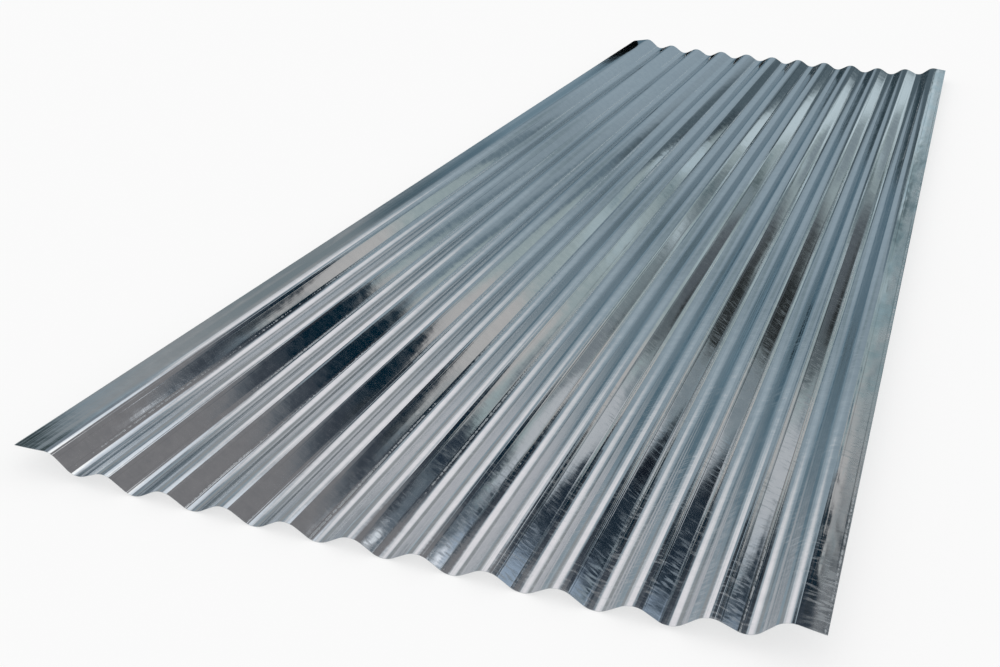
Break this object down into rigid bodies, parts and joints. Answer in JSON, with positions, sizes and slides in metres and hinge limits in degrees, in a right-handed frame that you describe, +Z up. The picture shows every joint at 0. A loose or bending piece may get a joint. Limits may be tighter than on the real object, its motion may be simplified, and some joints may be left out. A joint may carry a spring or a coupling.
{
  "type": "corrugated metal sheet",
  "caption": "Galvanised corrugated steel sheet for roofs and walls, with round waves along its length, plain overlap strips and slightly curled side edges.",
  "frame": {"origin": "on the floor under the middle of the sheet's box", "axes": "+X across the waves to the right, +Y along the waves from the near end to the far end, +Z up out of the sheet's weather face"},
  "size_m": [0.8122, 2.5, 0.0362],
  "materials": {
    "galvanised_steel": "bright smooth galvanised zinc, lightly scratched"
  },
  "bodies": {
    "root": {"corrugated_sheet": "galvanised_steel"}
  },
  "joints": []
}
